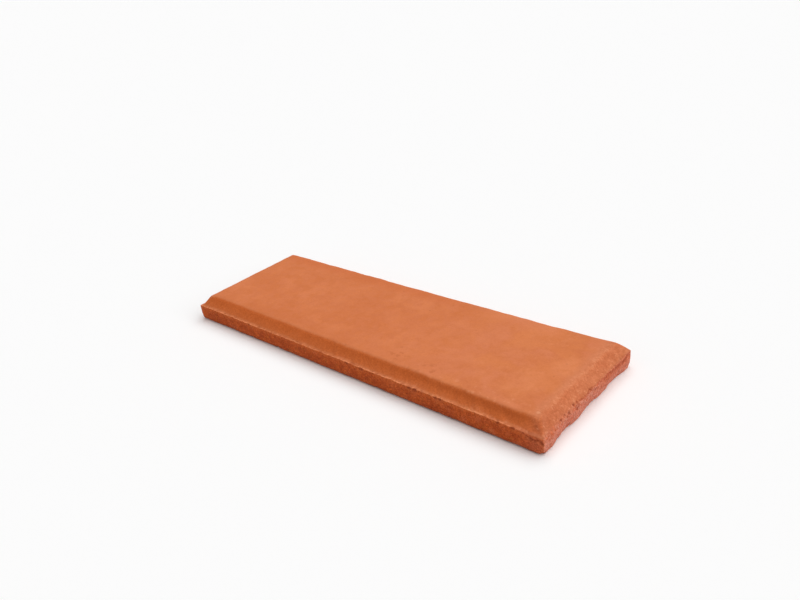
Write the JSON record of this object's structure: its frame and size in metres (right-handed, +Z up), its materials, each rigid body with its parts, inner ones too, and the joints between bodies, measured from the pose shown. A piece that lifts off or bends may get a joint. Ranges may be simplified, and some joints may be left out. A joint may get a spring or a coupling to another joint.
{
  "type": "facing brick",
  "caption": "Thin terracotta facing brick with a smooth show face, bevelled all round down to a narrow ledge, upright sides, a flat back and a broken lower edge at one end.",
  "frame": {"origin": "middle of the overall size in plan, on the underside plane it rests on", "axes": "+X along the length towards the end with the broken lower edge, -Y towards the long front side, +Z up, out of the show face"},
  "size_m": [0.24, 0.08, 0.014],
  "materials": {
    "fired_clay": "matte, unglazed terracotta"
  },
  "bodies": {
    "root": {"facing_brick": "fired_clay"}
  },
  "joints": []
}
